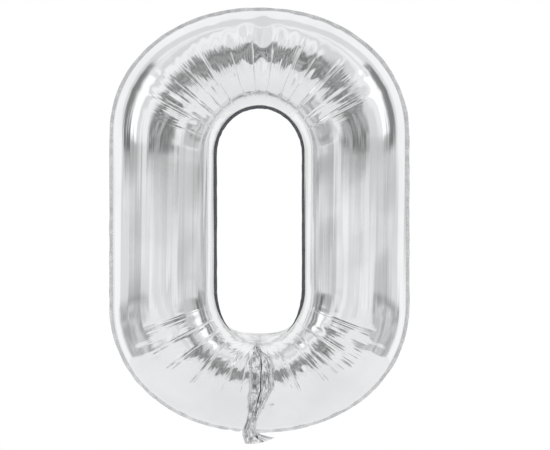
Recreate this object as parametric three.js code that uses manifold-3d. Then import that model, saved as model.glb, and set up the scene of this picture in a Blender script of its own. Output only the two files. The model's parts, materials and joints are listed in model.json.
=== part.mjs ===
// A foil number balloon: the digit 0, inflated, with its fill neck folded over the lower tube.
//
// Millimetres, +Z up, the face of the digit looks along -Y.
// The origin is the top of the outer weld, where the balloon is hung.
//
// The body is a ring-shaped tube made of two foil panels, front and back. They are welded together along
// the outer outline and along the hole. A tongue of the same foil, the fill neck, leaves the weld at the
// bottom of the hole, lies over the front of the lower tube and hangs down. A valve of two clear films runs
// inside it.

import * as THREE from 'three';
import { mergeVertices } from 'three/addons/utils/BufferGeometryUtils.js';
import Module from 'manifold-3d';

// ---------------------------------------------------------------- driving dimensions

// Overall size of the inflated digit, weld edge to weld edge, and the depth of its tube.
const HEIGHT = 860;
const WIDTH = 607;
const DEPTH = 200;

// The outer outline: the height of the round part at each end, and how square that part is (2 is an
// ellipse).
const OUTLINE_ROUND = 260;
const OUTLINE_POWER = 2.1;

// The hole: its width, its distance from the top and bottom of the digit, and its two round ends.
const HOLE_WIDTH = 180;
const HOLE_FROM_TOP = 200;
const HOLE_FROM_BOTTOM = 180;
const HOLE_ROUND_TOP = 96;
const HOLE_ROUND_BOTTOM = 110;
const HOLE_POWER = 2;

// How far the back panel swells up past the weld at the bottom of the hole, where the neck pulls the weld
// down, and how quickly that fades along the weld.
const BACK_SWELL = 10;
const SWELL_FADE = 6;

// Film and welds. A weld is two films pressed together.
const FILM = 0.6;
const WELD_THICKNESS = 1.2;
const OUTER_WELD_WIDTH = 6;
const INNER_WELD_WIDTH = 5.5;

// Clearance between pieces that touch, and between the folded neck and the panel below it.
const GAP = 0.3;
const NECK_LIFT_OFF = 4;

// The fill neck: its width at the root, where it lies on the tube, at the waist and at the mouth.
const NECK_ROOT_WIDTH = 30;
const NECK_WIDTH = 46;
const WAIST_WIDTH = 30;
const MOUTH_WIDTH = 62;
const NECK_WELD_WIDTH = 5;
const ROOT_SIDE_CLEARANCE = 1;

// The share of the turn over the tube in which the neck reaches its full width.
const WIDENING_SHARE = 1 / 3;

// Lengths of the two hanging pieces, and the clearance of each fold between pieces that turn.
const TAIL_LENGTH = 45;
const MOUTH_LENGTH = 64;
const FOLD_GAP = 0.6;

// The clear valve films: their thickness, how much narrower and shorter than the neck they are, and how far
// they reach into the balloon.
const VALVE_FILM = 0.3;
const VALVE_SIDE_CLEARANCE = 1.5;
const VALVE_END_SETBACK = 22;
const VALVE_REACH = 95;

// The filling hole in the outer film of the mouth, and the length of the drill that cuts it.
const FILL_HOLE_RADIUS = 2.5;
const FILL_HOLE_FROM_END = 16;
const DRILL_LENGTH = 10;

// Fineness of the mesh.
const ROUND_STEPS = 10;
const SIDE_STEPS = 6;
const SECTION_STEPS = 12;
const NECK_STEPS = 8;
const TAIL_STEPS = 3;
const HOLE_SIDES = 16;

// Least distance between two sections of the hole's weld along its loop, and the distance within which two
// points count as one.
const SECTION_MARGIN = 0.02;
const SAME_POINT = 1e-4;

// ---------------------------------------------------------------- outlines

// A weld line is a loop of two straight sides and two round ends, given by its half width, the heights of
// its round ends, the heights at which they start, and how square they are.
const seamInset = OUTER_WELD_WIDTH + GAP;

const outerSeam = {
  halfWidth: WIDTH / 2 - seamInset,
  roundTop: OUTLINE_ROUND - seamInset,
  roundBottom: OUTLINE_ROUND - seamInset,
  zTop: -OUTLINE_ROUND,
  zBottom: OUTLINE_ROUND - HEIGHT,
  power: OUTLINE_POWER,
};

const holeSeam = {
  halfWidth: HOLE_WIDTH / 2,
  roundTop: HOLE_ROUND_TOP,
  roundBottom: HOLE_ROUND_BOTTOM,
  zTop: -(HOLE_FROM_TOP + HOLE_ROUND_TOP),
  zBottom: HOLE_FROM_BOTTOM + HOLE_ROUND_BOTTOM - HEIGHT,
  power: HOLE_POWER,
};

// The same loop, larger by an even margin.
function grown(loop, margin) {
  return {
    ...loop,
    halfWidth: loop.halfWidth + margin,
    roundTop: loop.roundTop + margin,
    roundBottom: loop.roundBottom + margin,
  };
}

// A point of the loop. u runs from 0 at the bottom, up the +X side (1 to 2), over the top (3) and down the
// -X side (4 to 5) to the bottom again at 6.
const LOOP_END = 6;

function loopPoint(loop, u) {
  const stretch = Math.min(Math.floor(u), LOOP_END - 1);
  const part = u - stretch;
  const exponent = 2 / loop.power;
  const sine = Math.sin(part * Math.PI / 2) ** exponent;
  const cosine = Math.max(Math.cos(part * Math.PI / 2), 0) ** exponent;
  const w = loop.halfWidth;
  const up = THREE.MathUtils.lerp(loop.zBottom, loop.zTop, part);
  const down = THREE.MathUtils.lerp(loop.zTop, loop.zBottom, part);
  const points = [
    [w * sine, loop.zBottom - loop.roundBottom * cosine],
    [w, up],
    [w * cosine, loop.zTop + loop.roundTop * sine],
    [-w * sine, loop.zTop + loop.roundTop * cosine],
    [-w, down],
    [-w * cosine, loop.zBottom - loop.roundBottom * sine],
  ];
  return new THREE.Vector3(points[stretch][0], 0, points[stretch][1]);
}

// The stations along a loop: the round quarters are finer than the straight sides.
function loopStations() {
  const steps = [ROUND_STEPS, SIDE_STEPS, ROUND_STEPS, ROUND_STEPS, SIDE_STEPS, ROUND_STEPS];
  return steps.flatMap((count, stretch) =>
    Array.from({ length: count }, (_, i) => stretch + i / count));
}

const stations = loopStations();

// A point of the loop's facets, which are straight from one station to the next.
function facetPoint(loop, u) {
  const after = stations.findIndex((station) => station > u);
  const high = after < 0 ? LOOP_END : stations[after];
  const low = after < 0 ? stations[stations.length - 1] : stations[after - 1];
  return loopPoint(loop, low).lerp(loopPoint(loop, high), (u - low) / (high - low));
}

// ---------------------------------------------------------------- solids

// Six times the volume inside a closed mesh, positive when its faces point outwards.
function signedVolume(positions, index) {
  const corner = (i) => new THREE.Vector3().fromArray(positions, 3 * index[i]);
  let total = 0;
  for (let i = 0; i < index.length; i += 3) {
    total += corner(i).dot(corner(i + 1).cross(corner(i + 2)));
  }
  return total;
}

// A closed solid through a row of sections, each a ring of the same number of points. The row closes on
// itself, or each end gets a cap.
function loft(sections, closed) {
  const count = sections[0].length;
  const positions = sections.flat().flatMap((p) => [p.x, p.y, p.z]);
  const index = [];
  const rows = closed ? sections.length : sections.length - 1;
  for (let i = 0; i < rows; i += 1) {
    const here = i * count;
    const next = ((i + 1) % sections.length) * count;
    for (let j = 0; j < count; j += 1) {
      const k = (j + 1) % count;
      index.push(here + j, here + k, next + k, here + j, next + k, next + j);
    }
  }
  if (!closed) {
    const last = (sections.length - 1) * count;
    for (let j = 1; j < count - 1; j += 1) {
      index.push(0, j + 1, j);
      index.push(last, last + j, last + j + 1);
    }
  }
  const geometry = new THREE.BufferGeometry();
  geometry.setAttribute('position', new THREE.Float32BufferAttribute(positions, 3));
  geometry.setIndex(signedVolume(positions, index) > 0 ? index : index.reverse());
  geometry.computeVertexNormals();
  return geometry;
}

// The push towards the hole that makes the back panel's ellipse stand BACK_SWELL above the weld.
function swellPush(chord) {
  return Math.sqrt((chord / 2 + BACK_SWELL) ** 2 - (chord / 2) ** 2);
}

// One point of a panel: angle 0 is on the outer weld, PI on the weld of the hole. side is -1 for the front.
function panelPoint(u, angle, side, inset) {
  const outer = loopPoint(grown(outerSeam, -inset), u);
  const inner = loopPoint(grown(holeSeam, inset), u);
  const across = (1 - Math.cos(angle)) / 2;
  const bulge = Math.sin(angle);
  const point = outer.clone().lerp(inner, across);
  if (side > 0) {
    const nearNeck = Math.max(Math.cos(u * 2 * Math.PI / LOOP_END), 0) ** SWELL_FADE;
    point.z += swellPush(outer.distanceTo(inner)) * nearNeck * bulge * across;
  }
  point.y = side * (GAP / 2 + (DEPTH / 2 - inset) * bulge);
  return point;
}

// A foil panel: the outer skin from weld to weld, and the inner skin back again, one film apart.
function panel(side) {
  const angles = Array.from({ length: SECTION_STEPS + 1 }, (_, i) => Math.PI * i / SECTION_STEPS);
  const sections = stations.map((u) => {
    const outside = angles.map((angle) => panelPoint(u, angle, side, 0));
    const inside = angles.map((angle) => panelPoint(u, angle, side, FILM)).reverse();
    return [...outside, ...inside];
  });
  return loft(sections, true);
}

// The four corners of a flat weld band between two loops.
function weldSection(innerLoop, outerLoop, u) {
  const near = facetPoint(innerLoop, u);
  const far = facetPoint(outerLoop, u);
  const half = WELD_THICKNESS / 2;
  return [
    new THREE.Vector3(near.x, -half, near.z),
    new THREE.Vector3(near.x, half, near.z),
    new THREE.Vector3(far.x, half, far.z),
    new THREE.Vector3(far.x, -half, far.z),
  ];
}

function outerWeld() {
  const innerEdge = grown(outerSeam, GAP);
  const outerEdge = grown(innerEdge, OUTER_WELD_WIDTH);
  return loft(stations.map((u) => weldSection(innerEdge, outerEdge, u)), true);
}

// The weld of the hole stops on both sides of the neck, which passes through it at the bottom.
function innerWeld() {
  const outerEdge = grown(holeSeam, -GAP);
  const innerEdge = grown(outerEdge, -INNER_WELD_WIDTH);
  const opening = NECK_ROOT_WIDTH / 2 + ROOT_SIDE_CLEARANCE;
  const start = Math.asin(opening / innerEdge.halfWidth) / (Math.PI / 2);
  const end = LOOP_END - start;
  const between = stations.filter((u) => u > start + SECTION_MARGIN && u < end - SECTION_MARGIN);
  const sections = [start, ...between, end].map((u) => weldSection(innerEdge, outerEdge, u));
  return loft(sections, false);
}

// ---------------------------------------------------------------- the neck's layers

// The lower tube's section at the middle of the digit, which the neck is folded over.
const tubeTop = holeSeam.zBottom - holeSeam.roundBottom;
const tubeBottom = outerSeam.zBottom - outerSeam.roundBottom;
const tubeMiddle = (tubeTop + tubeBottom) / 2;
const tubeHalfHeight = (tubeTop - tubeBottom) / 2;

// Distances of the layers from the panel: the front film lies against it, then the two valve films, and the
// back film is outermost, because the tongue is folded forwards.
const frontFilmStart = NECK_LIFT_OFF;
const frontValveStart = frontFilmStart + FILM + GAP;
const backValveStart = frontValveStart + VALVE_FILM + GAP;
const backFilmStart = backValveStart + VALVE_FILM + GAP;
const stackEnd = backFilmStart + FILM;
const weldStart = (frontFilmStart + stackEnd - WELD_THICKNESS) / 2;

// The three pieces of the neck: over the tube (turn 0 to 1), then straight down (length).
const neckTurnStart = Math.asin(GAP / (DEPTH / 2)) / (Math.PI / 2);
const tailTop = tubeMiddle - FOLD_GAP;
const mouthTop = tailTop - TAIL_LENGTH;
const mouthEnd = mouthTop - FOLD_GAP - MOUTH_LENGTH;

const neckRoute = Array.from({ length: NECK_STEPS + 1 }, (_, i) => {
  const turn = THREE.MathUtils.lerp(neckTurnStart, 1, i / NECK_STEPS);
  const widened = Math.min(turn / WIDENING_SHARE, 1);
  return { turn, z: tubeMiddle, width: THREE.MathUtils.lerp(NECK_ROOT_WIDTH, NECK_WIDTH, widened) };
});

function straightRoute(zTop, zEnd, widthTop, widthEnd) {
  return Array.from({ length: TAIL_STEPS + 1 }, (_, i) => {
    const part = i / TAIL_STEPS;
    return {
      turn: 1,
      z: THREE.MathUtils.lerp(zTop, zEnd, part),
      width: THREE.MathUtils.lerp(widthTop, widthEnd, part),
    };
  });
}

const tailRoute = straightRoute(tailTop, mouthTop, NECK_WIDTH, WAIST_WIDTH);
const mouthRoute = straightRoute(mouthTop - FOLD_GAP, mouthEnd, WAIST_WIDTH, MOUTH_WIDTH);

// A point of the neck at a distance off the panel.
function neckPoint(stop, x, offset) {
  const angle = stop.turn * Math.PI / 2;
  const y = -(DEPTH / 2 + offset) * Math.sin(angle);
  const rise = (tubeHalfHeight + offset) * Math.cos(angle);
  return new THREE.Vector3(x, y, stop.z + rise);
}

// A strip of film along a route, between two distances off the panel. edges gives its two sides at a stop.
function strip(route, start, end, edges) {
  const sections = route.map((stop) => {
    const [low, high] = edges(stop.width / 2);
    return [
      neckPoint(stop, low, start),
      neckPoint(stop, high, start),
      neckPoint(stop, high, end),
      neckPoint(stop, low, end),
    ];
  });
  return loft(sections, false);
}

const filmInset = NECK_WELD_WIDTH + GAP;
const filmEdges = (half) => [filmInset - half, half - filmInset];
const valveInset = filmInset + VALVE_SIDE_CLEARANCE;
const valveEdges = (half) => [valveInset - half, half - valveInset];
const leftWeldEdges = (half) => [-half, NECK_WELD_WIDTH - half];
const rightWeldEdges = (half) => [half - NECK_WELD_WIDTH, half];

// The films that reach into the balloon hang straight down inside the lower tube, below the neck's root.
function valveInlet(side) {
  const half = NECK_ROOT_WIDTH / 2 - valveInset + VALVE_SIDE_CLEARANCE;
  const near = side * GAP / 2;
  const far = side * (GAP / 2 + VALVE_FILM);
  const zTop = tubeTop - FILM - GAP;
  const heights = [zTop, zTop - VALVE_REACH];
  const sections = heights.map((z) => {
    return [
      new THREE.Vector3(-half, near, z),
      new THREE.Vector3(half, near, z),
      new THREE.Vector3(half, far, z),
      new THREE.Vector3(-half, far, z),
    ];
  });
  return loft(sections, false);
}

// ---------------------------------------------------------------- cutting the filling hole

const wasm = await Module();
wasm.setup();

function toManifold(geometry) {
  const bare = geometry.clone();
  bare.deleteAttribute('normal');
  bare.deleteAttribute('uv');
  const merged = mergeVertices(bare, SAME_POINT);
  return new wasm.Manifold(new wasm.Mesh({
    numProp: 3,
    vertProperties: new Float32Array(merged.attributes.position.array),
    triVerts: new Uint32Array(merged.index.array),
  }));
}

function toGeometry(manifold) {
  const mesh = manifold.getMesh();
  const geometry = new THREE.BufferGeometry();
  geometry.setAttribute('position', new THREE.BufferAttribute(new Float32Array(mesh.vertProperties), 3));
  geometry.setIndex(new THREE.BufferAttribute(new Uint32Array(mesh.triVerts), 1));
  geometry.computeVertexNormals();
  return geometry;
}

function withFillHole(film) {
  const drill = new THREE.CylinderGeometry(
    FILL_HOLE_RADIUS, FILL_HOLE_RADIUS, DRILL_LENGTH, HOLE_SIDES,
  );
  drill.translate(0, -(DEPTH / 2 + stackEnd), mouthEnd + FILL_HOLE_FROM_END);
  return toGeometry(toManifold(film).subtract(toManifold(drill)));
}

// ---------------------------------------------------------------- materials and scene

const foil = () => new THREE.MeshStandardMaterial({ color: 0xdfe2e5, roughness: 0.08, metalness: 1 });
const weld = () => new THREE.MeshStandardMaterial({ color: 0xb4b9be, roughness: 0.25, metalness: 1 });
const clear = () => new THREE.MeshStandardMaterial({
  color: 0xe9eef0,
  roughness: 0.2,
  metalness: 0,
  transparent: true,
  opacity: 0.4,
});

const balloon = new THREE.Group();

function add(name, geometry, material) {
  const mesh = new THREE.Mesh(geometry, material);
  mesh.name = name;
  balloon.add(mesh);
}

add('front_panel', panel(-1), foil());
add('back_panel', panel(1), foil());
add('outer_weld', outerWeld(), weld());
add('inner_weld', innerWeld(), weld());
add('valve_inlet_front', valveInlet(-1), clear());
add('valve_inlet_back', valveInlet(1), clear());

// The valve stops short of the mouth's end.
const valveMouthRoute = straightRoute(
  mouthRoute[0].z, mouthEnd + VALVE_END_SETBACK, WAIST_WIDTH,
  THREE.MathUtils.lerp(WAIST_WIDTH, MOUTH_WIDTH, 1 - VALVE_END_SETBACK / MOUTH_LENGTH),
);

const stretches = [
  { name: 'neck', route: neckRoute, valveRoute: neckRoute },
  { name: 'tail', route: tailRoute, valveRoute: tailRoute },
  { name: 'mouth', route: mouthRoute, valveRoute: valveMouthRoute },
];

for (const { name, route, valveRoute } of stretches) {
  const frontFilm = strip(route, frontFilmStart, frontFilmStart + FILM, filmEdges);
  const backFilm = strip(route, backFilmStart, stackEnd, filmEdges);
  const leftWeld = strip(route, weldStart, weldStart + WELD_THICKNESS, leftWeldEdges);
  const rightWeld = strip(route, weldStart, weldStart + WELD_THICKNESS, rightWeldEdges);
  const frontValve = strip(valveRoute, frontValveStart, frontValveStart + VALVE_FILM, valveEdges);
  const backValve = strip(valveRoute, backValveStart, backValveStart + VALVE_FILM, valveEdges);
  add(`${name}_front_film`, frontFilm, foil());
  add(`${name}_back_film`, name === 'mouth' ? withFillHole(backFilm) : backFilm, foil());
  add(`${name}_weld_left`, leftWeld, weld());
  add(`${name}_weld_right`, rightWeld, weld());
  add(`${name}_valve_front`, frontValve, clear());
  add(`${name}_valve_back`, backValve, clear());
}

export default balloon;
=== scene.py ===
"""A mirror-silver foil balloon in the shape of the digit 0, with its crumpled fill neck."""

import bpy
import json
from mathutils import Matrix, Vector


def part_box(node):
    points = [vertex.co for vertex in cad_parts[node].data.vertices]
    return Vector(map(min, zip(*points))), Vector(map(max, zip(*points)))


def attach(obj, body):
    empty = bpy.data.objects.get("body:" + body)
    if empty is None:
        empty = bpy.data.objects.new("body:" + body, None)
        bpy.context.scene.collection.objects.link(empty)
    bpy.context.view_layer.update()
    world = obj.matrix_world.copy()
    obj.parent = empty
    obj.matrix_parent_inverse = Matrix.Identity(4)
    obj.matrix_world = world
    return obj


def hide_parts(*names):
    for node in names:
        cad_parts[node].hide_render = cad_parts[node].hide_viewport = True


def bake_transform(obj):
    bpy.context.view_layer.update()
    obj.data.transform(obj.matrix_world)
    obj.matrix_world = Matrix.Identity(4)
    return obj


bl_info = {
    "name": "Foil digit balloon",
    "version": (1, 0, 0),
    "blender": (4, 5, 0),
    "location": "3D View > Sidebar > Balloon",
    "description": "Builds an inflated foil digit 0 around its packed CAD frame",
    "category": "Add Mesh",
}

import functools
import json
import math

import bmesh
import bpy
import numpy as np
from bpy.props import FloatProperty, FloatVectorProperty, IntProperty, PointerProperty
from mathutils import Vector

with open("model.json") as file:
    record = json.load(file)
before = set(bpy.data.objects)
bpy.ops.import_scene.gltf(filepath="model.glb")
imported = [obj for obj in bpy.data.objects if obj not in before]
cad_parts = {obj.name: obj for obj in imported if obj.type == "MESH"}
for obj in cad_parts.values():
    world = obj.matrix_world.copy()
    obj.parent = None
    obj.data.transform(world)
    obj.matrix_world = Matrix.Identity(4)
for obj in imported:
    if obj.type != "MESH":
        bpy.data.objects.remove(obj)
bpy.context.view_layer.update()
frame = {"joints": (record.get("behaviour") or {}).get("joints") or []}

PANEL_LOW, PANEL_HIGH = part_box("front_panel")
DIGIT_LOW, DIGIT_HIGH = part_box("outer_weld")
HOLE_LOW, HOLE_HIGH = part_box("inner_weld")
MOUTH_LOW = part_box("mouth_back_film")[0]
INLET_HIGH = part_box("valve_inlet_front")[1]
JOINTS = {joint["name"]: Vector(joint["pos_m"]) for joint in frame["joints"]}

# Clearance that the CAD solids keep between a panel and a weld, and a panel's wall.
GAP = 0.0003
WALL = 0.0006

# Width of the weld in the hole, and half the width of the gap that it leaves for the neck.
HOLE_WELD_WIDTH = 0.0046
HOLE_WELD_OPENING = 0.014


# ------------------------------------------------------------------ settings


class BalloonShape(bpy.types.PropertyGroup):
    """Sizes of the inflated film."""

    outline_round: FloatProperty(
        name="Outline round", description="Height of the rounded part of the outline at each end",
        default=0.260, unit="LENGTH")
    outline_power: FloatProperty(
        name="Outline squareness", description="2 is an ellipse, higher is squarer", default=2.1)
    hole_round_top: FloatProperty(
        name="Hole round, top", description="Height of the rounded part at the top of the hole",
        default=0.096, unit="LENGTH")
    hole_round_bottom: FloatProperty(
        name="Hole round, bottom", description="Height of the rounded part at the bottom of the hole",
        default=0.110, unit="LENGTH")
    crease_slack: FloatProperty(
        name="Crease slack", description="Spare film beside the hole's round ends, as a share",
        default=0.006, subtype="FACTOR")
    pucker_slack: FloatProperty(
        name="Pucker slack", description="Spare film along the outer weld, as a share",
        default=0.004, subtype="FACTOR")
    end_thinning: FloatProperty(
        name="Thinner top", description="How much thinner the tube is in its top end, as a share",
        default=0.045, subtype="FACTOR")
    crest_shift: FloatProperty(
        name="Crest shift", description="How far the round ends bulge more beside the hole, in radians",
        default=0.15)
    crease_count: IntProperty(
        name="Creases", description="Folds counted once round the whole ring", default=31)
    seed: IntProperty(name="Seed", description="Start of the random wrinkles", default=3)


class BalloonNeck(bpy.types.PropertyGroup):
    """Sizes of the fill neck."""

    lift: FloatProperty(
        name="Lift", description="Height of the neck's middle above the panel below it",
        default=0.0055, unit="LENGTH")
    weld_width: FloatProperty(
        name="Weld width", description="Width of the sealed edge along each side of the neck",
        default=0.0045, unit="LENGTH")
    valve_setback: FloatProperty(
        name="Valve setback", description="From the end of the clear valve film to the mouth",
        default=0.022, unit="LENGTH")
    end_rise: FloatProperty(
        name="End rise", description="How far the crumpled mouth has drawn up from its flat length",
        default=0.011, unit="LENGTH")
    hole_height: FloatProperty(
        name="Filling hole height", description="Height of the filling hole",
        default=-0.856, unit="LENGTH")
    hole_place: FloatProperty(
        name="Filling hole place", description="Place of the hole across the neck, from -1 to 1",
        default=0.3)
    hole_radius: FloatProperty(
        name="Filling hole", description="Radius of the hole that the straw goes into",
        default=0.0028, unit="LENGTH")


class BalloonFinish(bpy.types.PropertyGroup):
    """Colours and gloss."""

    foil_colour: FloatVectorProperty(
        name="Foil", description="Reflection colour of the metallised film",
        subtype="COLOR", size=4, min=0, max=1, default=(0.90, 0.905, 0.915, 1))
    weld_colour: FloatVectorProperty(
        name="Weld", description="Reflection colour of the heat-sealed bands",
        subtype="COLOR", size=4, min=0, max=1, default=(0.88, 0.885, 0.90, 1))
    # Painted shade: the band in the hole gets a near-black colour for the shade it lies in, not the foil's
    # own colour.
    hole_weld_painted_shade: FloatVectorProperty(
        name="Hole weld", description="Reflection colour of the shaded band in the hole",
        subtype="COLOR", size=4, min=0, max=1, default=(0.16, 0.165, 0.18, 1))
    valve_colour: FloatVectorProperty(
        name="Valve film", description="Colour of the clear valve film",
        subtype="COLOR", size=4, min=0, max=1, default=(0.86, 0.90, 0.92, 1))
    roughness: FloatProperty(
        name="Foil roughness", description="Softness of the foil's reflections",
        default=0.10, subtype="FACTOR")


class BalloonStage(bpy.types.PropertyGroup):
    """Floor, light and camera."""

    camera_distance: FloatProperty(
        name="Camera distance", description="From the camera to the digit's middle plane",
        default=3.5, unit="LENGTH")
    camera_x: FloatProperty(
        name="Camera X", description="Sideways place of the camera", default=0.0316, unit="LENGTH")
    camera_z: FloatProperty(
        name="Camera Z", description="Height of the camera", default=-0.440, unit="LENGTH")
    view_width: FloatProperty(
        name="View width", description="Width that the camera sees at the digit's middle plane",
        default=1.1126, unit="LENGTH")
    floor_drop: FloatProperty(
        name="Floor drop", description="From the balloon's lowest point to the floor",
        default=0.35, unit="LENGTH")
    floor_width: FloatProperty(
        name="Floor width", description="Reach of the floor to each side", default=1.18, unit="LENGTH")
    floor_depth: FloatProperty(
        name="Floor depth", description="Reach of the floor to the front and back",
        default=2.4, unit="LENGTH")
    floor_colour: FloatVectorProperty(
        name="Floor", description="Colour of the floor", subtype="COLOR", size=4, min=0, max=1,
        default=(0.90, 0.90, 0.90, 1))
    light: FloatProperty(
        name="Studio light", description="Strength of the white surroundings", default=1.0)


# ------------------------------------------------------------------ nodes


class Value:
    """A node socket that can be used in sums, so that shader maths reads as plain Python."""

    def __init__(self, tree, socket):
        self.tree = tree
        self.socket = socket

    @classmethod
    def node(cls, tree, kind, settings=None, inputs=None, output=0):
        """Adds a node, sets its settings first, then its sockets, and gives back one output."""
        node = tree.nodes.new(kind)
        for name, setting in (settings or {}).items():
            setattr(node, name, setting)
        for name, given in (inputs or {}).items():
            if isinstance(given, Value):
                tree.links.new(given.socket, node.inputs[name])
            else:
                node.inputs[name].default_value = given
        return cls(tree, node.outputs[output])

    def maths(self, operation, *values):
        """One Math node on these values."""
        return Value.node(self.tree, "ShaderNodeMath", {"operation": operation}, dict(enumerate(values)))

    def __add__(self, other):
        return self.maths("ADD", self, other)

    __radd__ = __add__

    def __sub__(self, other):
        return self.maths("SUBTRACT", self, other)

    def __rsub__(self, other):
        return self.maths("SUBTRACT", other, self)

    def __neg__(self):
        return 0 - self

    def __mul__(self, other):
        return self.maths("MULTIPLY", self, other)

    __rmul__ = __mul__

    def __pow__(self, other):
        return self.maths("POWER", self, other)

    def absolute(self):
        return self.maths("ABSOLUTE", self)

    def arcsine(self):
        """The angle with this sine, in radians."""
        return self.maths("ARCSINE", self)

    def arctangent(self, other):
        """The angle whose tangent is this value over the other, in radians."""
        return self.maths("ARCTAN2", self, other)

    def smoothstep(self, low, high, start=0.0, end=1.0):
        """start below low, end above high, and a soft change between them."""
        return Value.node(
            self.tree, "ShaderNodeMapRange", {"interpolation_type": "SMOOTHSTEP"},
            {"Value": self, "From Min": low, "From Max": high, "To Min": start, "To Max": end})

    def window(self, low, high, soft):
        """1 between low and high and 0 outside, with soft edges."""
        return self.smoothstep(low - soft, low) * self.smoothstep(high, high + soft, 1.0, 0.0)

    def blend(self, first, second):
        """first where this value is 0 and second where it is 1, both colours."""
        return Value.node(
            self.tree, "ShaderNodeMix", {"data_type": "RGBA"}, {"Factor": self, 6: first, 7: second}, 2)


def new_material(name, **constants):
    """A Principled material with these constant socket values; spaces in names are underscores."""
    material = bpy.data.materials.new(name)
    material.use_nodes = True
    shader = material.node_tree.nodes["Principled BSDF"]
    for key, value in constants.items():
        shader.inputs[key.replace("_", " ")].default_value = value
    return material, material.node_tree, shader


def drive(tree, shader, name, value):
    """Feeds a shader socket from a varying value."""
    tree.links.new(value.socket, shader.inputs[name])


def darker(colour, share):
    """The same colour at this share of its brightness."""
    return tuple(share * part for part in colour[:3]) + (1,)


def object_noise(tree, stretch, scale, detail=2.0, roughness=0.5):
    """Noise over the object's own space, stretched by stretch."""
    place = Value.node(tree, "ShaderNodeTexCoord", output="Object")
    scaled = Value.node(tree, "ShaderNodeVectorMath", {"operation": "MULTIPLY"}, {0: place, 1: stretch})
    return Value.node(
        tree, "ShaderNodeTexNoise", None,
        {"Vector": scaled, "Scale": scale, "Detail": detail, "Roughness": roughness})


def line_noise(tree, place, detail):
    """Noise along a line."""
    return Value.node(
        tree, "ShaderNodeTexNoise", {"noise_dimensions": "1D"},
        {"W": place, "Scale": 1.0, "Detail": detail, "Roughness": 0.5})


def part_of(tree, vector, part):
    """One of the three parts of a vector."""
    return Value.node(tree, "ShaderNodeSeparateXYZ", None, {0: vector}, part)


def uv_value(tree, layer, part):
    """One of the two values of a UV map."""
    return part_of(tree, Value.node(tree, "ShaderNodeUVMap", {"uv_map": layer}), part)


def bump(tree, height, strength, distance):
    """The surface's direction after a relief of this height, whose unit is the distance."""
    return Value.node(
        tree, "ShaderNodeBump", None, {"Height": height, "Strength": strength, "Distance": distance})


# ------------------------------------------------------------------ materials

# Folds across the round ends and fine pleats outside them, to the metre of film.
FOLDS_PER_METRE = 25
PLEATS_PER_METRE = 190

# How far from the neck's root the film is pinched: fully, and not any more.
PINCHED = 0.02
UNPINCHED = 0.14


def side_streaks(tree, along, across):
    """Relief of the straight sides: long soft waves down the film, and the sag between them."""
    broad = line_noise(tree, 7 * across + 1.2 * along, 1)
    fine = line_noise(tree, 38 * across + 2 * along, 1)
    sag = line_noise(tree, 5.5 * along + 2 * across, 0)
    return 3.4 * (broad + 0.10 * fine) + 3.5 * sag


def fold_cell(tree, along, feature, output=0):
    """The stretches of uneven length between folds."""
    return Value.node(
        tree, "ShaderNodeTexVoronoi", {"voronoi_dimensions": "1D", "feature": feature},
        {"W": along * FOLDS_PER_METRE, "Scale": 1.0, "Randomness": 0.75}, output)


def end_folds(tree, along, across):
    """Relief of the round ends: sharp folds, leaning facets between them, and fine pleats outside them."""
    from_fold = fold_cell(tree, along, "DISTANCE_TO_EDGE")
    chance = fold_cell(tree, along, "F1", "Color")
    middle = fold_cell(tree, along, "F1", "W")
    lean = Value.node(tree, "ShaderNodeSeparateColor", None, {0: chance}) - 0.5
    facets = lean * (along * FOLDS_PER_METRE - middle) * from_fold.smoothstep(0.02, 0.16)
    facets = facets * across.window(0.42, 0.85, 0.10)
    reach = line_noise(tree, along * 30, 1)
    folds = from_fold.smoothstep(0.0, 0.045, -1.0, 0.0) * across.window(0.53 - 0.13 * reach, 0.80, 0.05)
    pleats = line_noise(tree, along * PLEATS_PER_METRE, 1) * across.window(0.41, 0.62, 0.05)
    pleats = pleats * line_noise(tree, along * 12 + 7, 1).smoothstep(0.36, 0.52)
    return 0.55 * folds + 0.6 * pleats + 6.5 * facets


def root_pinch(tree):
    """Nearness to the neck's root, from 0 to 1, and rays of folds that run out from it."""
    place = Value.node(tree, "ShaderNodeTexCoord", output="Object")
    root = JOINTS["neck_lift"]
    x = part_of(tree, place, 0) - root.x
    z = part_of(tree, place, 2) - root.z
    near = ((x * x + z * z) ** 0.5).smoothstep(PINCHED, UNPINCHED, 1.0, 0.0)
    return near, near * line_noise(tree, z.arctangent(x) * 5, 2)


@functools.lru_cache(maxsize=None)
def foil_material():
    """Mirror film: soft streaks along the sides, and folds and fine pleats across the round ends.

    The relief is in millimetres.
    """
    finish = bpy.context.scene.balloon_finish
    material, tree, shader = new_material("mirror_foil", Metallic=1.0)
    cloud = object_noise(tree, (1, 1, 1), 9, 3)
    foil = tuple(finish.foil_colour)
    drive(tree, shader, "Base Color", cloud.smoothstep(0.35, 0.65).blend(foil, darker(foil, 0.95)))
    drive(tree, shader, "Roughness", finish.roughness + 0.04 * cloud.smoothstep(0.4, 0.7))
    along = uv_value(tree, "film", 0)
    turn = uv_value(tree, "share", 0)
    across = uv_value(tree, "share", 1)
    relief = side_streaks(tree, along, across) * (0.12 + 0.88 * (1 - turn))
    relief = relief + turn.smoothstep(0.6, 1.0) * end_folds(tree, along, across)
    near, rays = root_pinch(tree)
    crinkle = object_noise(tree, (1, 1, 0.4), 150, 3, 0.6)
    relief = relief + 2.5 * rays + (0.045 + 0.4 * near) * crinkle
    drive(tree, shader, "Normal", bump(tree, relief, 1.0, 0.001))
    return material


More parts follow.
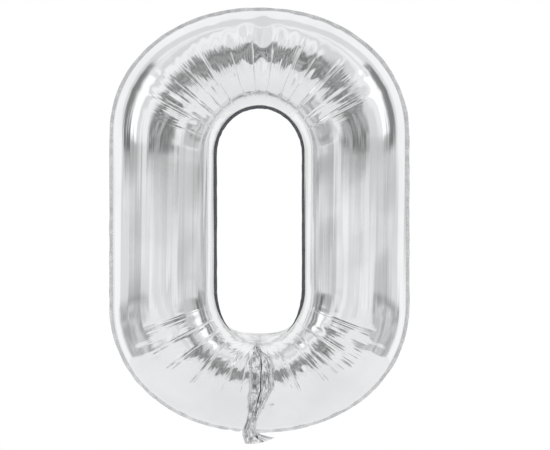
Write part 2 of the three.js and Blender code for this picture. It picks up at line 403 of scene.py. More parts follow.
@functools.lru_cache(maxsize=None)
def neck_material():
    """The same film crumpled flat, with darker mottled patches and painted shade that turns it nearly black
    down in its folds.
    """
    finish = bpy.context.scene.balloon_finish
    material, tree, shader = new_material("crumpled_foil_painted_fold_shade", Metallic=1.0)
    cloud = object_noise(tree, (1, 1, 0.4), 120, 2, 0.6)
    # How deep in a fold each point lies: the mask of the painted shade in the folds.
    depth = uv_value(tree, "share", 0)
    foil = tuple(finish.foil_colour)
    colour = cloud.smoothstep(0.46, 0.62).blend(foil, darker(foil, 0.55))
    # Painted shade: the film goes nearly black where it lies deep in a fold.
    drive(tree, shader, "Base Color", depth.smoothstep(0.35, 0.8).blend(colour, darker(foil, 0.10)))
    drive(tree, shader, "Roughness", finish.roughness + 0.08 * cloud)
    crinkle = object_noise(tree, (1, 1, 0.5), 260, 3, 0.6)
    drive(tree, shader, "Normal", bump(tree, crinkle, 0.8, 0.0012))
    return material


@functools.lru_cache(maxsize=None)
def weld_material(name, colour):
    """Two films pressed together, with the fine ribs of the sealing bar along it."""
    material, tree, shader = new_material(name, Metallic=1.0)
    along = Value.node(tree, "ShaderNodeUVMap", {"uv_map": "film"})
    ribs = Value.node(
        tree, "ShaderNodeTexWave", {"wave_type": "BANDS", "bands_direction": "X"},
        {"Vector": along, "Scale": 150, "Distortion": 1.5, "Detail": 2})
    cloud = object_noise(tree, (1, 1, 1), 60, 3)
    drive(tree, shader, "Base Color", cloud.smoothstep(0.3, 0.7).blend(colour, darker(colour, 0.8)))
    drive(tree, shader, "Roughness", 0.2 + 0.15 * cloud)
    drive(tree, shader, "Normal", bump(tree, ribs + 0.6 * cloud, 0.6, 0.0006))
    return material


@functools.lru_cache(maxsize=None)
def valve_material():
    """Clear polyethylene, slightly milky where it creases."""
    clear = tuple(bpy.context.scene.balloon_finish.valve_colour)
    material, tree, shader = new_material("clear_valve_film", Metallic=0.0)
    haze = object_noise(tree, (1, 1, 0.4), 90, 3)
    drive(tree, shader, "Base Color", haze.smoothstep(0.3, 0.7).blend(clear, darker(clear, 0.85)))
    drive(tree, shader, "Roughness", 0.15 + 0.2 * haze)
    drive(tree, shader, "Alpha", 0.35 + 0.2 * haze)
    drive(tree, shader, "Normal", bump(tree, haze, 0.4, 0.001))
    return material


@functools.lru_cache(maxsize=None)
def floor_material():
    """Matt paper that glows a little, so that it stays pale under a hanging balloon."""
    pale = tuple(bpy.context.scene.balloon_stage.floor_colour)
    material, tree, shader = new_material(
        "pale_floor", Roughness=0.7, Emission_Color=(1, 1, 1, 1), Emission_Strength=0.17)
    cloud = object_noise(tree, (1, 1, 1), 2, 2)
    drive(tree, shader, "Base Color", cloud.blend(pale, darker(pale, 0.97)))
    return material


# ------------------------------------------------------------------ film under pressure

# The pressure and the guide in each step, and the passes over the film's edges.
PRESSURE = 0.006
GUIDE = 0.5
PASSES = 5

# How firmly an edge that is too short is held, and a diagonal, against 1 for one that is too long.
SHORT_EDGE = 0.6
DIAGONAL = 0.6

# How many waves along and across the film count as its broad shape.
BROAD_WAVES = (14, 5)

# Keeps a division by a length off zero.
TINY = 1e-12


def lengths(edges):
    """Length of each vector."""
    return np.sqrt((edges ** 2).sum(-1))


def rest_lengths(shape, slack):
    """Lengths of the flat film's edges and diagonals: those of the shape, longer by slack along it."""
    along = (np.roll(shape, -1, 1) - shape) * (1 + slack)[..., None]
    across = np.roll(shape, -1, 0) - shape
    return {
        "along": lengths(along),
        "across": lengths(across),
        "rising": lengths(along + np.roll(across, -1, 1)),
        "falling": lengths(np.roll(across, 1, 1) - np.roll(along, 1, 1)),
    }


def pull(first, second, rest, stiffness):
    """How far each end of the edges moves to bring them to length; a short edge gives way more softly."""
    edge = second - first
    error = 1 - rest / (lengths(edge) + TINY)
    share = np.where(error > 0, stiffness, stiffness * SHORT_EDGE) * error * 0.5
    return edge * share[..., None]


def hold_lengths(film, rest):
    """One pass that brings every edge and diagonal of the film close to its flat length."""
    even, odd = film[:, 0::2], film[:, 1::2]
    move = pull(even, odd, rest["along"][:, 0::2], 1)
    even += move
    odd -= move
    move = pull(odd, np.roll(even, -1, 1), rest["along"][:, 1::2], 1)
    odd += move
    even -= np.roll(move, 1, 1)
    even, odd = film[0::2], film[1::2]
    move = pull(even, odd, rest["across"][0::2], 1)
    even += move
    odd -= move
    move = pull(odd, np.roll(even, -1, 0), rest["across"][1::2], 1)
    odd += move
    even -= np.roll(move, 1, 0)
    for side, name in ((-1, "rising"), (1, "falling")):
        move = pull(even, np.roll(odd, side, 1), rest[name][0::2], DIAGONAL)
        even += move
        odd -= np.roll(move, -side, 1)
        move = pull(odd, np.roll(np.roll(even, -1, 0), side, 1), rest[name][1::2], DIAGONAL)
        odd += move
        even -= np.roll(np.roll(move, 1, 0), -side, 1)


def unevenness(film):
    """How far each point stands off the middle of its four neighbours."""
    back, ahead = np.roll(film, 1, 1), np.roll(film, -1, 1)
    return 0.25 * (back + ahead + np.roll(film, 1, 0) + np.roll(film, -1, 0)) - film


def film_normals(film):
    """Outward direction at each point, as long as four times the patch around it."""
    ahead, back = np.roll(film, -1, 1), np.roll(film, 1, 1)
    return np.cross(ahead - back, np.roll(film, -1, 0) - np.roll(film, 1, 0))


def wave_counts(rows, columns):
    """How many waves fit across and along the film, for each part of its transform."""
    across = np.fft.fftfreq(rows) * rows
    along = np.fft.rfftfreq(columns) * columns
    return across[:, None], along[None]


def settle(film, shape, slack, steps, bending):
    """Lets the film crease under pressure, while its broad shape stays near the given shape."""
    rest = rest_lengths(shape, slack)
    cell = float(np.median(rest["along"]))
    patch = 4 * rest["along"] * rest["across"]
    rows, columns = film.shape[:2]
    waves_across, waves_along = wave_counts(rows, columns)
    keep = np.exp(-(waves_along / BROAD_WAVES[0]) ** 2 - (waves_across / BROAD_WAVES[1]) ** 2)[..., None]
    before = film.copy()
    for _ in range(steps):
        drift = (film - before) * 0.95
        before = film.copy()
        film = film + drift + film_normals(film) / patch[..., None] * (PRESSURE * cell)
        for _ in range(PASSES):
            hold_lengths(film, rest)
            film -= bending * unevenness(unevenness(film))
        strayed = np.fft.rfft2(film - shape, axes=(0, 1)) * keep
        film -= GUIDE * np.fft.irfft2(strayed, (rows, columns), axes=(0, 1))
    return film


def refine(film):
    """The same film with twice the points each way."""
    wide = np.stack([film, (film + np.roll(film, -1, 1)) / 2], 2).reshape(film.shape[0], -1, 3)
    down = np.roll(wide, -1, 0)
    return np.stack([wide, (wide + down) / 2], 1).reshape(-1, wide.shape[1], 3)


def ripples(random, rows, columns, waves, spread, across):
    """Random ripples with about this many waves along the film, of height 1."""
    waves_across, waves_along = wave_counts(rows, columns)
    band = np.exp(-((waves_along - waves) / spread) ** 2 - (waves_across / across) ** 2)
    noise = np.fft.irfft2(np.fft.rfft2(random.normal(0, 1, (rows, columns))) * band, (rows, columns))
    return noise / noise.std()


# ------------------------------------------------------------------ the ring-shaped body

# Points along each stretch of the ring: round quarter, straight side, round quarter, and the same back;
# and points from one weld to the other. The finer film has twice as many.
STRETCHES = (36, 28, 36, 36, 28, 36)
ROWS = 26

# Places along the ring, whose stretches are 1 long: the middle of each straight side, and the top.
RIGHT_SIDE = 1.5
TOP = 3
LEFT_SIDE = 4.5

# How far the back panel swells towards the hole above the neck's root.
SWELLING = 0.062

# The ripples that start the creases: their height, and how far their count and their rows spread.
RIPPLE_HEIGHT = 0.0006
RIPPLE_SPREAD = 6
RIPPLE_ROWS = 3

# How far from the middle of a side, in places, the ring starts to be round, and how soon it is fully so.
ROUND_START = 0.42
ROUND_FADE = 0.35

# The reach of the thinner top end on each side, in places.
THIN_REACH = 0.9

# Angles round the tube, from 0 at the outer weld to a half turn at the hole's: where the spare film of the
# round ends lies and how far it spreads, how far the puckers spread, and how far the hole's weld keeps the
# film taut.
CREASE_ANGLE = 1.95
CREASE_SPREAD = 0.5
PUCKER_SPREAD = 0.3
TAUT_SPREAD = 0.12

# Spare film everywhere in the round ends, and the share of the puckers that the straight sides have too.
EVEN_SLACK = 0.006
SIDE_PUCKERS = 0.35

# Passes that even out the straight sides after the film has creased.
SIDE_PASSES = 8

# Shares by which the rows next to the outer weld are drawn back to its line.
DRAWN_ROWS = (1, 0.8, 0.55, 0.35, 0.2, 0.1, 0.04)


def weld_line(half_width, round_top, round_bottom, z_top, z_bottom, power, stretches):
    """A loop of two straight sides and two round ends, from the bottom up the +X side and over the top."""
    quarters = [np.arange(count) / count for count in stretches]
    sines = [np.sin(part * np.pi / 2) ** (2 / power) for part in quarters]
    cosines = [np.cos(part * np.pi / 2) ** (2 / power) for part in quarters]
    straight = z_top - z_bottom
    parts = [
        (half_width * sines[0], z_bottom - round_bottom * cosines[0]),
        (half_width + 0 * quarters[1], z_bottom + straight * quarters[1]),
        (half_width * cosines[2], z_top + round_top * sines[2]),
        (-half_width * sines[3], z_top + round_top * cosines[3]),
        (-half_width + 0 * quarters[4], z_top - straight * quarters[4]),
        (-half_width * cosines[5], z_bottom - round_bottom * sines[5]),
    ]
    return np.vstack([np.column_stack(part) for part in parts])


def ring_shape(rows, stretches):
    """The smooth tube that the balloon fills.

    Its rows run from the outer weld over the front to the hole's weld, and back over the rear.
    """
    shape = bpy.context.scene.balloon_shape
    rise = DIGIT_HIGH.z - PANEL_HIGH.z
    outer = weld_line(
        PANEL_HIGH.x, shape.outline_round - rise, shape.outline_round - rise,
        DIGIT_HIGH.z - shape.outline_round, DIGIT_LOW.z + shape.outline_round,
        shape.outline_power, stretches)
    hole_top = HOLE_HIGH.z + GAP
    hole_bottom = INLET_HIGH.z + WALL + GAP
    hole = weld_line(
        HOLE_HIGH.x + GAP, shape.hole_round_top, shape.hole_round_bottom,
        hole_top - shape.hole_round_top, hole_bottom + shape.hole_round_bottom, 2, stretches)
    angle = np.linspace(0, np.pi, rows + 1)
    across = ((1 - np.cos(angle)) / 2)[:, None, None]
    line = outer[None] * (1 - across) + hole[None] * across
    from_side = np.clip((RIGHT_SIDE - np.abs(ring_places(stretches) - TOP)) / THIN_REACH, 0, 1)
    thinner = 1 - shape.end_thinning * (0.5 - 0.5 * np.cos(np.pi * from_side))
    skewed = angle[:, None] - shape.crest_shift * roundness(stretches) * np.sin(angle)[:, None]
    depth = -PANEL_LOW.y * np.sin(skewed) * thinner
    front = np.stack([line[..., 0], -depth, line[..., 1]], -1)
    swell = swelling(stretches)[None] * np.sin(angle)[:, None] * across[..., 0]
    back = np.stack([line[..., 0], depth, line[..., 1] + swell], -1)
    return np.vstack([front, back[-2:0:-1]])


def ring_places(stretches):
    """Place of each column along the ring, from 0 at the bottom up the +X side and round to 6."""
    return np.concatenate([number + np.arange(count) / count for number, count in enumerate(stretches)])


def swelling(stretches):
    """The push towards the hole of the back panel, where the neck pulls the weld down."""
    return SWELLING * np.maximum(np.cos(ring_places(stretches) * np.pi / TOP), 0) ** 6


def roundness(stretches):
    """1 in the round ends and 0 along the straight sides, with a soft change."""
    place = ring_places(stretches)
    from_side = np.minimum(np.abs(place - RIGHT_SIDE), np.abs(place - LEFT_SIDE))
    part = np.clip((from_side - ROUND_START) / ROUND_FADE, 0, 1)
    return part * part * (3 - 2 * part)


def ring_slack(rows, stretches):
    """Spare length of the film along the ring, most beside the hole's round ends and at the outer weld."""
    shape = bpy.context.scene.balloon_shape
    angle = np.linspace(0, np.pi, rows + 1)
    beside_hole = shape.crease_slack * np.exp(-((angle - CREASE_ANGLE) / CREASE_SPREAD) ** 2)
    at_weld = np.exp(-(angle / PUCKER_SPREAD) ** 2)
    taut = np.clip((np.pi - angle) / TAUT_SPREAD, 0, 1)
    half = (beside_hole + EVEN_SLACK) * taut
    turn = roundness(stretches)[None]
    pucker = (shape.pucker_slack * at_weld)[:, None] * (SIDE_PUCKERS + (1 - SIDE_PUCKERS) * turn)
    slack = half[:, None] * turn + pucker
    return np.vstack([slack, slack[-2:0:-1]])


@functools.lru_cache(maxsize=None)
def inflated_ring():
    """The body's film after it has creased, as rows round the tube and columns round the ring."""
    shape = bpy.context.scene.balloon_shape
    random = np.random.default_rng(shape.seed)
    rows, stretches = ROWS, STRETCHES
    smooth = ring_shape(rows, stretches)
    normals = film_normals(smooth)
    normals /= lengths(normals)[..., None] + TINY
    start = ripples(
        random, len(smooth), smooth.shape[1], shape.crease_count, RIPPLE_SPREAD, RIPPLE_ROWS)
    height = start * RIPPLE_HEIGHT * (0.15 + 0.85 * roundness(stretches))
    film = smooth + normals * height[..., None]
    film = settle(film, smooth, ring_slack(rows, stretches), steps=120, bending=0.01)
    rows, stretches = 2 * rows, tuple(2 * count for count in stretches)
    smooth = ring_shape(rows, stretches)
    film = settle(refine(film), smooth, ring_slack(rows, stretches), steps=140, bending=0.02)
    straight = (1 - roundness(stretches))[None, :, None]
    for _ in range(SIDE_PASSES):
        film += 0.5 * straight * unevenness(film)
    drawn_in = smooth[0] - film[0]
    drawn_in[:, 1] = 0
    for row, share in enumerate(DRAWN_ROWS):
        film[row] += share * drawn_in
        if row:
            film[-row] += share * drawn_in
    return film


# ------------------------------------------------------------------ meshes


def film_mesh(name, film, ring, material, share=None, levels=1):
    """A smooth sheet through rows and columns of points.

    UV map "film" holds distances along and across it, in metres. UV map "share" holds what share gives
    for each point.
    """
    rows, columns = film.shape[:2]
    spans = columns if ring else columns - 1
    row, column = np.meshgrid(np.arange(rows - 1), np.arange(spans), indexing="ij")
    ahead = (column + 1) % columns
    corners = np.stack([
        row * columns + column, row * columns + ahead,
        (row + 1) * columns + ahead, (row + 1) * columns + column], -1).reshape(-1, 4)
    mesh = bpy.data.meshes.new(name)
    mesh.from_pydata(film.reshape(-1, 3).tolist(), [], corners.tolist())
    mesh.polygons.foreach_set("use_smooth", [True] * len(mesh.polygons))
    middle = film[rows // 2]
    along = np.concatenate([[0], np.cumsum(lengths(np.roll(middle, -1, 0) - middle))])
    across = np.concatenate([[0], np.cumsum(lengths(film[1:, 0] - film[:-1, 0]))])
    places = np.stack([
        np.stack([along[column], along[column + 1], along[column + 1], along[column]], -1),
        np.stack([across[row], across[row], across[row + 1], across[row + 1]], -1)], -1)
    maps = {"film": places}
    if share is not None:
        maps["share"] = share.reshape(-1, 2)[corners.reshape(-1)]
    for layer, values in maps.items():
        flat = values.reshape(-1).astype(np.float32)
        mesh.uv_layers.new(name=layer).data.foreach_set("uv", flat)
    mesh.materials.append(material)
    mesh.update()
    piece = bpy.data.objects.new(name, mesh)
    bpy.context.scene.collection.objects.link(piece)
    if levels:
        smooth = piece.modifiers.new("smooth", "SUBSURF")
        smooth.levels = smooth.render_levels = levels
        smooth.use_limit_surface = False
    return piece


def thicken(piece, thickness):
    """Gives a sheet its thickness, half of it on each side."""
    solid = piece.modifiers.new("film", "SOLIDIFY")
    solid.thickness = thickness
    solid.offset = 0


def weld_band(film, row, width, random, ruffle, steps=3):
    """The flat band outside a weld line: it runs on, away from the film on both sides of the line."""
    rows = len(film)
    line = film[row]
    beside = film[(row + 1) % rows] + film[(row - 1) % rows]
    out = 2 * line - beside
    out /= lengths(out)[..., None] + TINY
    wave = random.normal(0, 1, len(line))
    for _ in range(2):
        wave = (np.roll(wave, 1) + wave + np.roll(wave, -1)) / 3
    trim = 1 + 0.10 * wave
    bands = []
    for step in range(steps + 1):
        part = step / steps
        place = line + out * (width * part) * trim[:, None]
        place[:, 1] += wave * ruffle * part ** 1.5
        bands.append(place)
    return np.stack(bands)


# ------------------------------------------------------------------ the fill neck

# Along the neck: share of its length, sideways place of its middle, width, pleat height, opening.
NECK_STOPS = np.array([
    (0.00, -0.007, 0.006, 0.0030, 0.0004),
    (0.22, -0.005, 0.008, 0.0040, 0.0005),
    (0.30, -0.001, 0.018, 0.0050, 0.0008),
    (0.35, 0.003, 0.042, 0.0050, 0.0012),
    (0.42, 0.005, 0.048, 0.0050, 0.0012),
    (0.60, 0.004, 0.047, 0.0050, 0.0012),
    (0.68, -0.002, 0.038, 0.0045, 0.0012),
    (0.76, -0.008, 0.027, 0.0040, 0.0012),
    (0.85, -0.015, 0.021, 0.0035, 0.0012),
    (0.91, -0.019, 0.026, 0.0020, 0.0014),
    (0.95, -0.014, 0.037, 0.0014, 0.0020),
    (1.00, 0.002, 0.058, 0.0006, 0.0045),
])


# The neck's mean width, which turns the width of its sealed edges into a share across it.
MEAN_WIDTH = 0.040

# Crumples of the neck's film: how many, half the width they spread over, their depth as a share of their
# size, and how they stretch along the neck.
CRUMPLES = 6
CRUMPLE_HALF_WIDTH = 0.023
CRUMPLE_DEPTH = 0.048
CRUMPLE_STRETCH = 0.4

# Points along the lying and the hanging half of the neck's middle line, and how many of them it takes to
# rise off the panel. At the root it starts a little above the weld.
PATH_POINTS = 40
LIFT_POINTS = 6
ROOT_RISE = 0.002

# The hanging half sways by this much, and so fast along its length.
SWAY = 0.0015
SWAY_RATE = 60

MESH_STEP = 0.0009

# Share of the way to the first fold line where the neck's own stretch ends and the tail's begins.
NECK_STRETCH = 0.6

# Share of the neck's length where the mouth starts to curl, and how far its end curls forwards.
CURL_START = 0.90
CURL_FORWARDS = 0.007

# The valve films: half their width as a share of the neck's, and how far each stands off the middle.
VALVE_HALF_WIDTH = 0.4
VALVE_OFFSET = 0.45

# Columns of points across a foil film, a valve film and a sealed edge.
FILM_COLUMNS = 48
VALVE_COLUMNS = 15
EDGE_COLUMNS = 5


def triangle(place):
    """A wave of straight ramps between -1 and 1."""
    return 4 * np.abs(place - np.floor(place + 0.5)) - 1


class NeckFilm:
    """The flattened, crumpled tube of the fill neck, as a function of places along and across it."""

    def __init__(self, settings, random):
        self.settings = settings
        self.path_points, self.path_up = self.path(settings.lift)
        steps = self.path_points[1:] - self.path_points[:-1]
        run = np.concatenate([[0], np.cumsum(lengths(steps))])
        self.length = run[-1]
        self.run = run / self.length
        self.crumples = [
            (random.uniform(0, np.pi), random.uniform(0.012, 0.040), random.uniform(0, 1))
            for _ in range(CRUMPLES)]
        self.weld_share = 1 - 2 * settings.weld_width / MEAN_WIDTH
        self.hole = (self.share_at(settings.hole_height), settings.hole_place)

    def path(self, lift):
        """The neck's middle line in the plane x = 0, and the direction away from the panel along it."""
        film = inflated_ring()
        half = len(film) // 2
        profile = film[half // 2:half + 1, 0, 1:][::-1]
        smooth = np.array([
            np.interp(np.linspace(0, 1, PATH_POINTS), np.linspace(0, 1, len(profile)), profile[:, part])
            for part in (0, 1)]).T
        smooth[1:-1] = (smooth[:-2] + 2 * smooth[1:-1] + smooth[2:]) / 4
        slope = np.gradient(smooth, axis=0)
        slope /= np.hypot(slope[:, 0], slope[:, 1])[:, None]
        out = np.stack([slope[:, 1], -slope[:, 0]], -1)
        rise = lift * np.minimum(1, np.arange(len(smooth)) / LIFT_POINTS)
        over = smooth + out * rise[:, None]
        over[0, 1] += ROOT_RISE
        drop = np.linspace(over[-1, 1], MOUTH_LOW.z + self.settings.end_rise, PATH_POINTS)[1:]
        hang = np.stack([over[-1, 0] + SWAY * np.sin((drop - over[-1, 1]) * SWAY_RATE), drop], -1)
        line = np.vstack([over, hang])
        up = np.vstack([out, np.tile((-1.0, 0.0), (len(hang), 1))])
        zero = np.zeros((len(line), 1))
        return np.hstack([zero, line]), np.hstack([zero, up])

    def share_at(self, height):
        """Share of the neck's length where its hanging part is at this height."""
        order = np.argsort(self.path_points[:, 2])
        return float(np.interp(height, self.path_points[order, 2], self.run[order]))

    def stretches(self):
        """Share of the length where each moving part starts and ends."""
        swing = self.share_at(JOINTS["tail_swing"].z)
        flick = self.share_at(JOINTS["mouth_flick"].z)
        neck_end = swing * NECK_STRETCH
        tail_end = (swing + flick) / 2
        return {
            "neck": (0.0, neck_end),
            "tail": (neck_end, tail_end),
            "mouth": (tail_end, 1.0),
        }

    def inside(self, end):
        """End of the valve film, which stops short of the mouth."""
        return min(end, 1 - self.settings.valve_setback / self.length)

    def sheet(self, start, end, left, right, side, columns=FILM_COLUMNS):
        """Points of one film from start to end along the neck and left to right across it.

        side is 1 for the outer film, -1 for the inner one and 0 for the sealed edge.
        """
        steps = max(8, int((end - start) * self.length / MESH_STEP))
        share, across = np.meshgrid(np.linspace(start, end, steps), np.linspace(left, right, columns))
        return self.place(share, across, side)

    def along_path(self, share, values):
        """The middle line's points or directions at these shares of its length."""
        return np.stack([np.interp(share, self.run, values[:, part]) for part in range(3)], -1)

    def place(self, share, across, side):
        """Points of the film at these shares of its length and these places across it, from -1 to 1."""
        middle, width, pleat, opening = (
            np.interp(share, NECK_STOPS[:, 0], NECK_STOPS[:, part]) for part in range(1, 5))
        up = self.along_path(share, self.path_up)
        up /= lengths(up)[..., None]
        bow = triangle(across * 1.3 + 0.28 + 0.5 * share)
        fine = triangle(across * 2.9 + 0.1 - 1.1 * share)
        height = pleat * (0.45 * bow + 0.35 * fine - self.valley(share, across))
        flat_across, flat_along = across * CRUMPLE_HALF_WIDTH, share * self.length * CRUMPLE_STRETCH
        for angle, size, shift in self.crumples:
            slanted = np.cos(angle) * flat_across + np.sin(angle) * flat_along
            height += CRUMPLE_DEPTH * size * triangle(slanted / size + shift)
        height = np.maximum(height, -self.clearance(share))
        edge = np.sqrt(np.maximum(0, 1 - (across / self.weld_share) ** 2))
        height += side * opening * edge
        curl = np.clip((share - CURL_START) / (1 - CURL_START), 0, 1) ** 2
        place = self.along_path(share, self.path_points) + up * height[..., None]
        place[..., 0] += middle + across * width / 2 + 0.25 * opening * side * across
        place[..., 1] -= CURL_FORWARDS * curl
        place[..., 2] += curl * (0.006 * across + 0.004 * across ** 2)
        return place

    def valley(self, share, across):
        """Depth of the long fold down the middle, from 0 to 1."""
        middle = 0.06 + 0.10 * np.sin(share * 9)
        return np.exp(-((across - middle) / 0.09) ** 2) * np.clip((0.80 - share) / 0.10, 0, 1)

    def clearance(self, share):
        """How far a fold may sink below the middle line without touching the panel."""
        return np.interp(share, (0, 0.1, 0.55, 0.7, 1.0), (0.001, 0.0035, 0.0040, 0.008, 0.010))

    def folds(self, steps, columns, start, end):
        """How deep in a fold each point of the whole sheet lies, for the painted shade in its folds."""
        share, across = np.meshgrid(np.linspace(start, end, steps), np.linspace(-1, 1, columns))
        return np.stack([self.valley(share, across), across], -1)

    def punch(self, piece):
        """Cuts the round filling hole in the outer film."""
        mesh = piece.data
        centre = Vector(self.place(np.array(self.hole[0]), np.array(self.hole[1]), 1.0))
        radius = self.settings.hole_radius
        points = np.zeros(len(mesh.vertices) * 3, np.float32)
        mesh.vertices.foreach_get("co", points)
        flat = points.reshape(-1, 3)[:, [0, 2]] - np.array([centre.x, centre.z])
        away = np.hypot(flat[:, 0], flat[:, 1])
        gone = [
            polygon.index for polygon in mesh.polygons
            if min(away[corner] for corner in polygon.vertices) <= 0.6 * radius]
        edit = bmesh.new()
        edit.from_mesh(mesh)
        edit.faces.ensure_lookup_table()
        bmesh.ops.delete(edit, geom=[edit.faces[index] for index in gone], context="FACES")
        for edge in edit.edges:
            if edge.is_boundary:
                for vertex in edge.verts:
                    offset = Vector((vertex.co.x - centre.x, vertex.co.z - centre.z))
                    if 0 < offset.length < 2 * radius:
                        offset *= radius / offset.length
                        vertex.co.x, vertex.co.z = centre.x + offset.x, centre.z + offset.y
        edit.to_mesh(mesh)
        edit.free()


# ------------------------------------------------------------------ operators


# Ruffle of the welds' free edges, their thickness, and the starts of the random draws.
OUTLINE_RUFFLE = 0.0014
HOLE_RUFFLE = 0.0006
WELD_THICKNESS = 0.0004
WELD_SEED = 11
NECK_SEED = 5


class BALLOON_OT_body(bpy.types.Operator):
    """Front and back foil panels, inflated and creased"""

    bl_idname = "balloon.body"
    bl_label = "Foil panels"

    def execute(self, context):
        film = inflated_ring()
        half = len(film) // 2
        turn = roundness(tuple(count * film.shape[1] // sum(STRETCHES) for count in STRETCHES))
        across = np.linspace(0, 1, half + 1)[:, None] + 0 * turn
        share = np.stack([turn + 0 * across, across], -1)
        rear = np.vstack([film[half:], film[:1]])
        front = film_mesh("foil_front", film[:half + 1], True, foil_material(), share)
        back = film_mesh("foil_back", rear, True, foil_material(), share[::-1])
        for piece, node in ((front, "front_panel"), (back, "back_panel")):
            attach(piece, "balloon")
            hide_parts(node)
        return {"FINISHED"}


class BALLOON_OT_welds(bpy.types.Operator):
    """Sealed bands along the outline and the hole"""

    bl_idname = "balloon.welds"
    bl_label = "Welds"

    def execute(self, context):
        film = inflated_ring()
        random = np.random.default_rng(WELD_SEED)
        finish = context.scene.balloon_finish
        outer = weld_band(film, 0, DIGIT_HIGH.x - PANEL_HIGH.x, random, OUTLINE_RUFFLE)
        inner = weld_band(film, len(film) // 2, HOLE_WELD_WIDTH, random, HOLE_RUFFLE)
        opening = np.abs(inner[0, :, 0]) < HOLE_WELD_OPENING
        low = inner[0, :, 2] < HOLE_LOW.z / 2 + HOLE_HIGH.z / 2
        gap = np.flatnonzero(opening & low)
        top = inner.shape[1] // 2
        first = gap[gap < top].max()
        last = gap[gap > top].min()
        inner = inner[:, first:last + 1]
        outer_material = weld_material("heat_weld", tuple(finish.weld_colour))
        # The band in the hole takes the near-black colour of painted shade, not the foil's own colour.
        hole_painted_shade_material = weld_material("hole_weld_painted_shade_material", tuple(finish.hole_weld_painted_shade))
        outline = film_mesh("weld_outline", outer, True, outer_material)
        hole = film_mesh("weld_hole", inner, False, hole_painted_shade_material)
        for piece, node in ((outline, "outer_weld"), (hole, "inner_weld")):
            thicken(piece, WELD_THICKNESS)
            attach(piece, "balloon")
            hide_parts(node)
        return {"FINISHED"}


class BALLOON_OT_neck(bpy.types.Operator):
    """Fill neck: two crumpled films with sealed edges, folded down over the front"""

    bl_idname = "balloon.neck"
    bl_label = "Fill neck"

    def execute(self, context):
        finish = context.scene.balloon_finish
        neck = NeckFilm(context.scene.balloon_neck, np.random.default_rng(NECK_SEED))
        weld = weld_material("heat_weld", tuple(finish.weld_colour))
        edge = neck.weld_share
        for part, (start, end) in neck.stretches().items():
            parts = [
                ("back_film", neck.sheet(start, end, -edge, edge, 1.0), neck_material(), "foil"),
                ("front_film", neck.sheet(start, end, -edge, edge, -1.0), neck_material(), "foil"),
                ("weld_left", neck.sheet(start, end, -1, -edge, 0.0, EDGE_COLUMNS), weld, "weld"),
                ("weld_right", neck.sheet(start, end, edge, 1, 0.0, EDGE_COLUMNS), weld, "weld"),
            ]
            inside = neck.inside(end)
            for side, offset in (("front", -VALVE_OFFSET), ("back", VALVE_OFFSET)):
                film = neck.sheet(start, inside, -VALVE_HALF_WIDTH, VALVE_HALF_WIDTH, offset, VALVE_COLUMNS)
                parts.append((f"valve_{side}", film, valve_material(), "valve_film"))
            for name, film, material, slot in parts:
                # The fold depth here sets the crumpled foil's painted shade in the folds.
                share = neck.folds(film.shape[1], film.shape[0], start, end)
                piece = film_mesh(f"{part}_{name}_visual", film, False, material, share, levels=0)
                if (part, name) == ("mouth", "back_film"):
                    neck.punch(piece)
                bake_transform(piece)
                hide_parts(f"{part}_{name}")
        return {"FINISHED"}


class BALLOON_OT_valve(bpy.types.Operator):
    """Clear valve inlet inside the balloon"""

    bl_idname = "balloon.valve"
    bl_label = "Valve inlet"

    def execute(self, context):
        for side, sign in (("front", -1), ("back", 1)):
            low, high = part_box(f"valve_inlet_{side}")
            width = np.linspace(low.x, high.x, 16)
            height = np.linspace(high.z, low.z, 60)
            x, z = np.meshgrid(width, height, indexing="ij")
            drop = high.z - z
            wave = 1 + np.sin(x * 90 - drop * 160)
            film = np.stack([x, (low.y + high.y) / 2 + sign * 0.006 * drop * wave, z], -1)
            piece = film_mesh(
                f"inlet_{side}_visual", film, False, valve_material(), levels=0)
            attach(piece, "balloon")
            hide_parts(f"valve_inlet_{side}")
        return {"FINISHED"}


# The floor's rings as shares of its reach, and the points round each.
FLOOR_RINGS = (0.25, 0.5, 0.75, 1.0)
FLOOR_TURNS = 96

DEGREES = 180 / math.pi


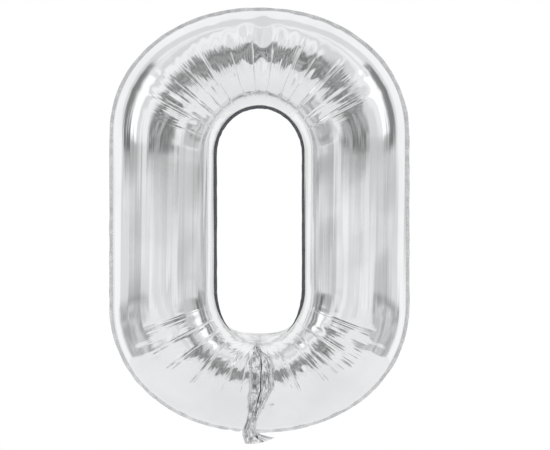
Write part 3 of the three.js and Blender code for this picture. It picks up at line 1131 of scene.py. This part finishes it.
class BALLOON_OT_stage(bpy.types.Operator):
    """Pale floor, soft white studio and the camera"""

    bl_idname = "balloon.stage"
    bl_label = "Stage"

    def execute(self, context):
        stage = context.scene.balloon_stage
        self.floor(stage)
        self.studio(context.scene, stage)
        self.camera(context.scene, stage)
        return {"FINISHED"}

    def floor(self, stage):
        """An oval of pale paper: a fan round its middle, and rings out to its edge."""
        height = MOUTH_LOW.z - stage.floor_drop
        vertices = [(0, 0, height)]
        for share in FLOOR_RINGS:
            for turn in range(FLOOR_TURNS):
                angle = 2 * math.pi * turn / FLOOR_TURNS
                x = stage.floor_width * share * math.sin(angle)
                y = stage.floor_depth * share * math.cos(angle)
                vertices.append((x, y, height))
        faces = [(0, 1 + (turn + 1) % FLOOR_TURNS, 1 + turn) for turn in range(FLOOR_TURNS)]
        for ring in range(len(FLOOR_RINGS) - 1):
            near = 1 + ring * FLOOR_TURNS
            far = near + FLOOR_TURNS
            for turn in range(FLOOR_TURNS):
                ahead = (turn + 1) % FLOOR_TURNS
                faces.append((near + turn, near + ahead, far + ahead, far + turn))
        mesh = bpy.data.meshes.new("floor")
        mesh.from_pydata(vertices, [], faces)
        mesh.materials.append(floor_material())
        floor = bpy.data.objects.new("floor", mesh)
        bpy.context.scene.collection.objects.link(floor)

    def studio(self, scene, stage):
        """White all round, with a dark gap above the camera and softly uneven grey beside it."""
        world = bpy.data.worlds.new("studio")
        scene.world = world
        world.use_nodes = True
        background = world.node_tree.nodes["Background"]
        background.inputs["Color"].default_value = (1, 1, 1, 1)
        drive(world.node_tree, background, "Strength", self.surroundings(world.node_tree) * stage.light)
        scene.view_settings.view_transform = "Standard"

    def surroundings(self, tree):
        """Brightness of the studio in each direction.

        Angles are in degrees, and side is 0 towards the camera and 180 behind the balloon.
        """
        way = Value.node(tree, "ShaderNodeTexCoord", output="Generated")
        x, y, z = (part_of(tree, way, part) for part in range(3))
        turn = x.arctangent(-y) * DEGREES
        side = turn.absolute()
        height = z.arcsine() * DEGREES
        front = (-y).smoothstep(0.0, 0.2)
        streaks = line_noise(tree, turn * 0.06 + 3, 2)
        mottle = Value.node(
            tree, "ShaderNodeTexNoise", None,
            {"Vector": way, "Scale": 9.0, "Detail": 3.0, "Roughness": 0.6})

        # Pale grey streaks in front, and the dark gap above the camera.
        gap = side.window(0, 26, 14) * height.window(6, 40, 5)
        room = streaks.smoothstep(0.35, 0.62, 0.74, 0.98) * (1 - gap)
        room = room + gap * mottle.smoothstep(0.35, 0.65, 0.18, 0.52)
        level = 1 - front * (1 - room)

        # Grey streaks straight behind the balloon.
        behind = y.smoothstep(0.72, 0.88) * height.window(-20, 34, 6)
        level = level * (1 - behind * streaks.smoothstep(0.40, 0.58, 0.40, 0.10))

        # Darker bands just above and just below the horizon, more so to the sides.
        horizon = height.window(4, 10, 4) * side.smoothstep(30, 70, 0.08, 0.45)
        horizon = horizon + height.window(-9, -1.6, 2) * side.smoothstep(15, 60, 0.0, 0.36)
        level = level * (1 - front * horizon)

        # The dark seams of the side walls, a faint shade along their whole height, and a lamp on each side.
        seam = side.window(80, 94, 5) * height.window(7, 40, 6)
        level = level * (1 - 0.72 * seam)
        level = level * (1 - 0.22 * (-y).window(-0.22, 0.02, 0.06))
        level = level + 0.35 * side.window(58, 72, 2) * height.window(12, 36, 2)

        # Mottled grey beside the floor, and the floor's own pale tone beyond its edge.
        below = height.window(-34, -9, 4) * side.window(38, 106, 12)
        level = level * (1 - below * mottle.smoothstep(0.35, 0.62, 0.20, 0.48))
        ground = (height + side.smoothstep(20, 84, 0, 26)).smoothstep(-14, -10, 1.0, 0.0)
        level = level * (1 - ground) + ground * 0.88

        # Plain white where the camera looks past the balloon.
        seen = Value.node(tree, "ShaderNodeLightPath", output="Is Camera Ray")
        return level * (1 - seen) + seen

    def camera(self, scene, stage):
        """A level camera in front of the balloon, whose lens takes in the view width."""
        data = bpy.data.cameras.new("camera")
        data.lens = data.sensor_width * stage.camera_distance / stage.view_width
        camera = bpy.data.objects.new("camera", data)
        scene.collection.objects.link(camera)
        camera.location = (stage.camera_x, -stage.camera_distance, stage.camera_z)
        camera.rotation_euler = (math.radians(90), 0, 0)
        scene.camera = camera


class BALLOON_PT_panel(bpy.types.Panel):
    """Lists the balloon's pieces in build order"""

    bl_idname = "BALLOON_PT_panel"
    bl_label = "Foil digit balloon"
    bl_space_type = "VIEW_3D"
    bl_region_type = "UI"
    bl_category = "Balloon"

    def draw(self, context):
        for settings in ("balloon_shape", "balloon_neck", "balloon_finish", "balloon_stage"):
            group = getattr(context.scene, settings)
            box = self.layout.box()
            for name in group.bl_rna.properties.keys():
                if name not in {"rna_type", "name"}:
                    box.prop(group, name)
        for operator in OPERATORS:
            self.layout.operator(operator.bl_idname)


OPERATORS = (BALLOON_OT_body, BALLOON_OT_welds, BALLOON_OT_neck, BALLOON_OT_valve, BALLOON_OT_stage)
GROUPS = {
    "balloon_shape": BalloonShape,
    "balloon_neck": BalloonNeck,
    "balloon_finish": BalloonFinish,
    "balloon_stage": BalloonStage,
}


def register():
    """Makes the settings, the operators and the panel known."""
    for name, group in GROUPS.items():
        bpy.utils.register_class(group)
        setattr(bpy.types.Scene, name, PointerProperty(type=group))
    for operator in OPERATORS:
        bpy.utils.register_class(operator)
    bpy.utils.register_class(BALLOON_PT_panel)


def unregister():
    """Takes them away again, in the opposite order."""
    bpy.utils.unregister_class(BALLOON_PT_panel)
    for operator in reversed(OPERATORS):
        bpy.utils.unregister_class(operator)
    for name, group in GROUPS.items():
        delattr(bpy.types.Scene, name)
        bpy.utils.unregister_class(group)


def main():
    """Builds every piece and the stage."""
    register()
    for operator in OPERATORS:
        group, name = operator.bl_idname.split(".")
        getattr(getattr(bpy.ops, group), name)()


if __name__ == "__main__":
    main()
